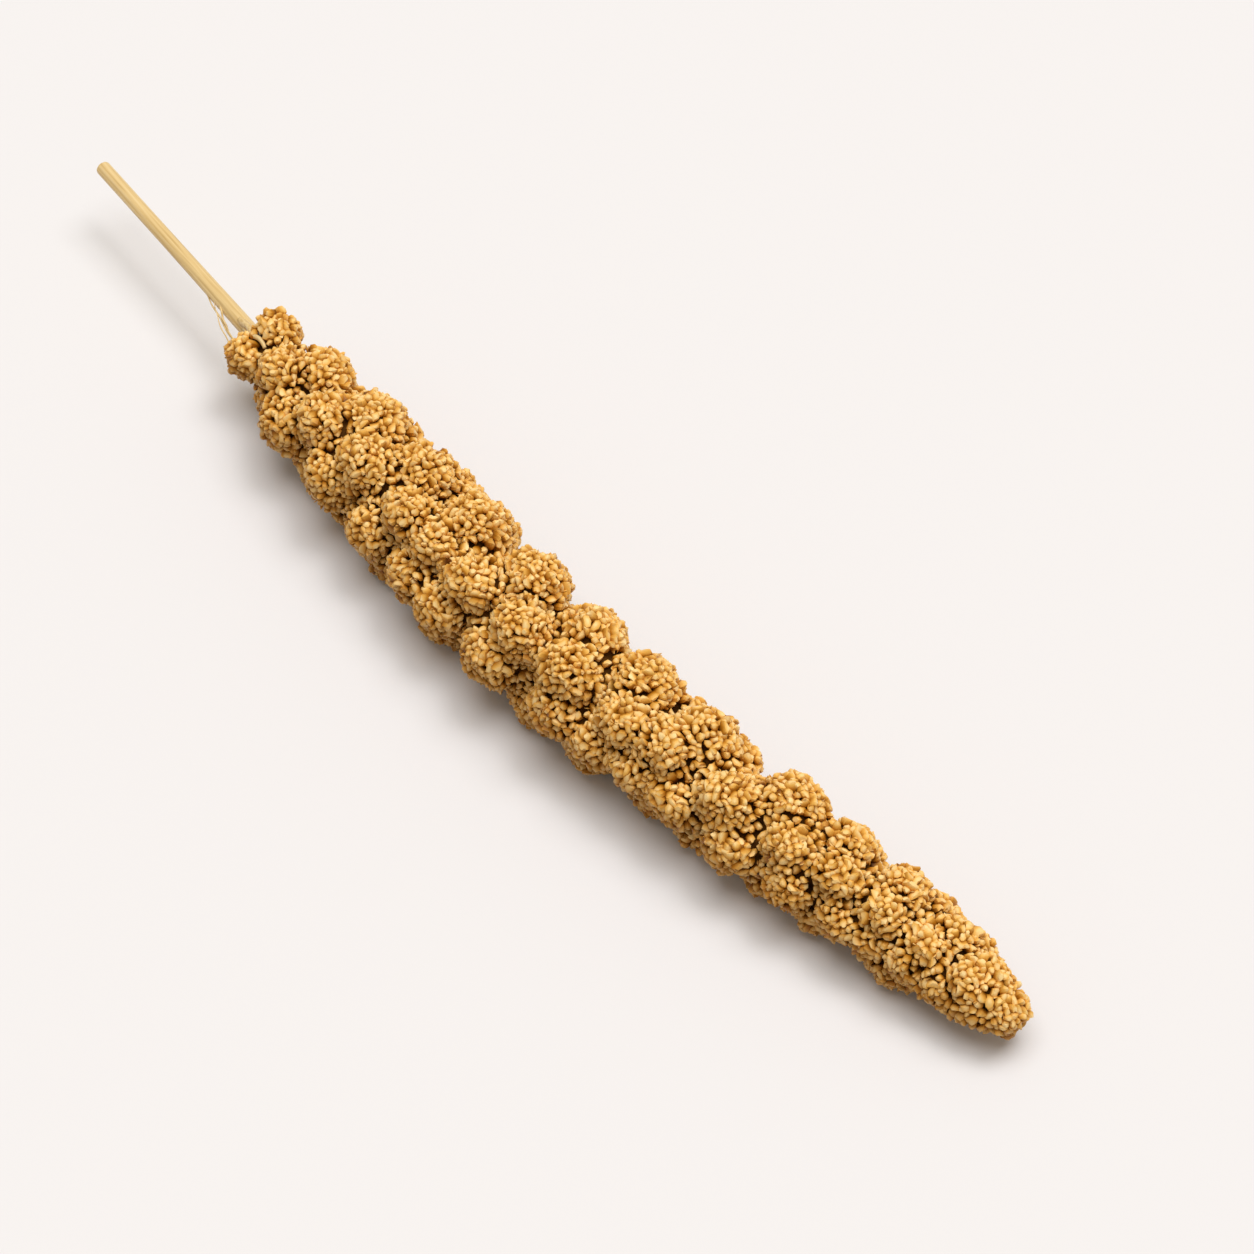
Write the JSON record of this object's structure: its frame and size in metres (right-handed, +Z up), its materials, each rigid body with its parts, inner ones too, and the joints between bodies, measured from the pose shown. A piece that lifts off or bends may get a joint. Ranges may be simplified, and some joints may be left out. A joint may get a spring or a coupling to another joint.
{
  "type": "millet seed head",
  "caption": "Dried golden seed head of foxtail millet lying down, round lobes of tiny grains along a cut straw-coloured stem.",
  "frame": {"origin": "bottom centre of the bounding box, on the surface that the head lies on", "axes": "+Z up, +X from the cut end of the stem to the tip of the head, -Y the side that bulges"},
  "size_m": [0.276, 0.0353, 0.0272],
  "materials": {
    "straw": "dry straw, faintly glossy, with fine lengthwise fibres",
    "grain": "dry golden-tan grains, satin, dark in the creases between them"
  },
  "bodies": {
    "root": {"stem": "straw", "seed_head": "grain"}
  },
  "joints": []
}
